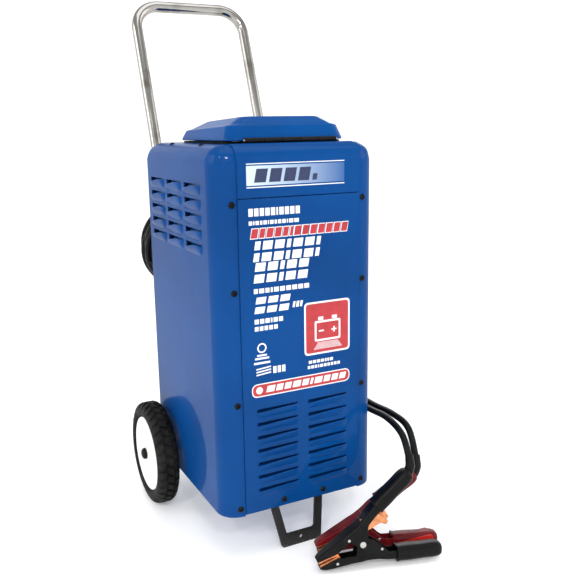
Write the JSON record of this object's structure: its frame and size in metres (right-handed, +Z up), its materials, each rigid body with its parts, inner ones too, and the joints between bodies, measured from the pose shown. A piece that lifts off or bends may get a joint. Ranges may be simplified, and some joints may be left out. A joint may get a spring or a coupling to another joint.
{
  "type": "wheeled car battery charger",
  "caption": "Tall sheet-metal battery charger cabinet on wheels, with a chrome push handle, hinged control hood, louvres and two leads with jaw clamps.",
  "frame": {"origin": "on the floor, under the middle of the charger's box without its leads and clamps", "axes": "+Z up, -Y the labelled front with the foot, +Y the wheels and handle, +X to the right seen from the front"},
  "size_m": [0.4176, 0.6584, 0.9948],
  "materials": {
    "blue_paint": "glossy royal blue powder coat",
    "black_paint": "semi-gloss black paint",
    "chrome_tube": "polished chrome plate",
    "black_plastic": "fine-textured moulded plastic",
    "tyre_rubber": "dull black rubber with a block tread",
    "white_rim": "glossy white moulding",
    "steel": "zinc-plated steel",
    "copper": "copper-plated steel",
    "copper_winding": "varnished copper wire",
    "aluminium": "extruded aluminium",
    "red_grip": "red vinyl over steel",
    "black_grip": "black vinyl over steel",
    "cable_rubber": "satin black rubber",
    "clear_lens": "clear moulding",
    "red_plastic": "glossy red moulding"
  },
  "bodies": {
    "root": {"cabinet_shell": "blue_paint", "front_panel": "blue_paint", "header_panel": "blue_paint", "back_panel": "blue_paint", "base_plate": "blue_paint", "foot_strap": "black_paint", "handle_strap_lower": "black_paint", "handle_strap_upper": "black_paint", "hood_hinge_base": "black_paint", "cable_hanger": "black_paint", "control_panel": "black_paint", "handle_tube": "chrome_tube", "ammeter_case": "black_plastic", "positive_gland": "black_plastic", "negative_gland": "black_plastic", "power_inlet": "black_plastic", "axle_cap_left": "black_plastic", "axle_cap_right": "black_plastic", "axle": "steel", "axle_bracket_left": "steel", "axle_bracket_right": "steel", "hood_hinge_pin": "steel", "positive_clamp_pin": "steel", "negative_clamp_pin": "steel", "positive_clamp_spring": "steel", "negative_clamp_spring": "steel", "fan_motor": "steel", "transformer_core": "steel", "positive_jaw": "copper", "negative_jaw": "copper", "primary_winding": "copper_winding", "secondary_winding": "copper_winding", "rectifier_heatsink": "aluminium", "positive_clamp_upper": "red_grip", "negative_clamp_upper": "black_grip", "positive_lead": "cable_rubber", "negative_lead": "cable_rubber", "positive_lead_feed": "cable_rubber", "negative_lead_feed": "cable_rubber", "positive_lead_coil": "cable_rubber", "negative_lead_coil": "cable_rubber", "positive_boot": "cable_rubber", "negative_boot": "cable_rubber", "hood_gasket": "cable_rubber", "ammeter_lens": "clear_lens"},
    "wheel_left": {"tyre_left": "tyre_rubber", "wheel_rim_left": "white_rim"},
    "wheel_right": {"tyre_right": "tyre_rubber", "wheel_rim_right": "white_rim"},
    "hood": {"control_hood": "blue_paint", "hood_hinge_leaf": "black_paint"},
    "timer_dial": {"timer_knob": "black_plastic"},
    "voltage_dial": {"voltage_knob": "black_plastic"},
    "rate_dial": {"rate_knob": "black_plastic"},
    "rocker": {"power_rocker": "red_plastic"},
    "breaker": {"breaker_button": "red_plastic"},
    "needle": {"ammeter_needle": "red_plastic"},
    "fan": {"fan_blade": "black_plastic"},
    "positive_clamp_handle": {"positive_clamp_lower": "red_grip"},
    "negative_clamp_handle": {"negative_clamp_lower": "black_grip"}
  },
  "joints": [
    {"name": "wheel_left_spin", "type": "hinge", "parent": "root", "child": "wheel_left", "pos_m": [-0.179, 0.0509, 0.1016], "axis": [1, 0, 0], "continuous": true},
    {"name": "wheel_right_spin", "type": "hinge", "parent": "root", "child": "wheel_right", "pos_m": [0.179, 0.0509, 0.1016], "axis": [1, 0, 0], "continuous": true},
    {"name": "hood_hinge", "type": "hinge", "parent": "root", "child": "hood", "pos_m": [0, -0.2203, 0.7184], "axis": [1, 0, 0], "range_deg": [0, 105]},
    {"name": "timer_turn", "type": "hinge", "parent": "root", "child": "timer_dial", "pos_m": [-0.044, -0.1511, 0.7111], "axis": [0, 0, 1], "range_deg": [-300, 0]},
    {"name": "voltage_turn", "type": "hinge", "parent": "root", "child": "voltage_dial", "pos_m": [0.052, -0.0571, 0.7111], "axis": [0, 0, 1], "range_deg": [-90, 0]},
    {"name": "rate_turn", "type": "hinge", "parent": "root", "child": "rate_dial", "pos_m": [-0.052, -0.0571, 0.7111], "axis": [0, 0, 1], "range_deg": [-120, 0]},
    {"name": "power_switch", "type": "hinge", "parent": "root", "child": "rocker", "pos_m": [0, -0.0471, 0.7111], "axis": [1, 0, 0], "range_deg": [0, 14]},
    {"name": "breaker_press", "type": "slide", "parent": "root", "child": "breaker", "axis": [0, 0, 1], "range_m": [-0.003, 0], "stiffness_N_per_m": 400},
    {"name": "needle_swing", "type": "hinge", "parent": "root", "child": "needle", "pos_m": [0.044, -0.1371, 0.7155], "axis": [0, 0, 1], "range_deg": [0, 90], "stiffness_Nm_per_rad": 0.00001},
    {"name": "fan_spin", "type": "hinge", "parent": "root", "child": "fan", "pos_m": [0, -0.2261, 0.2], "axis": [0, 1, 0], "continuous": true},
    {"name": "positive_clamp_squeeze", "type": "hinge", "parent": "root", "child": "positive_clamp_handle", "pos_m": [0.07616, -0.31317, 0.04031], "axis": [-0.3512, -0.9275, 0.1276], "range_deg": [0, 22], "stiffness_Nm_per_rad": 2, "springref_deg": -14.32},
    {"name": "negative_clamp_squeeze", "type": "hinge", "parent": "root", "child": "negative_clamp_handle", "pos_m": [0.05484, -0.35105, 0.04404], "axis": [-0.2807, -0.9475, 0.1534], "range_deg": [0, 28], "stiffness_Nm_per_rad": 2, "springref_deg": -14.32}
  ]
}
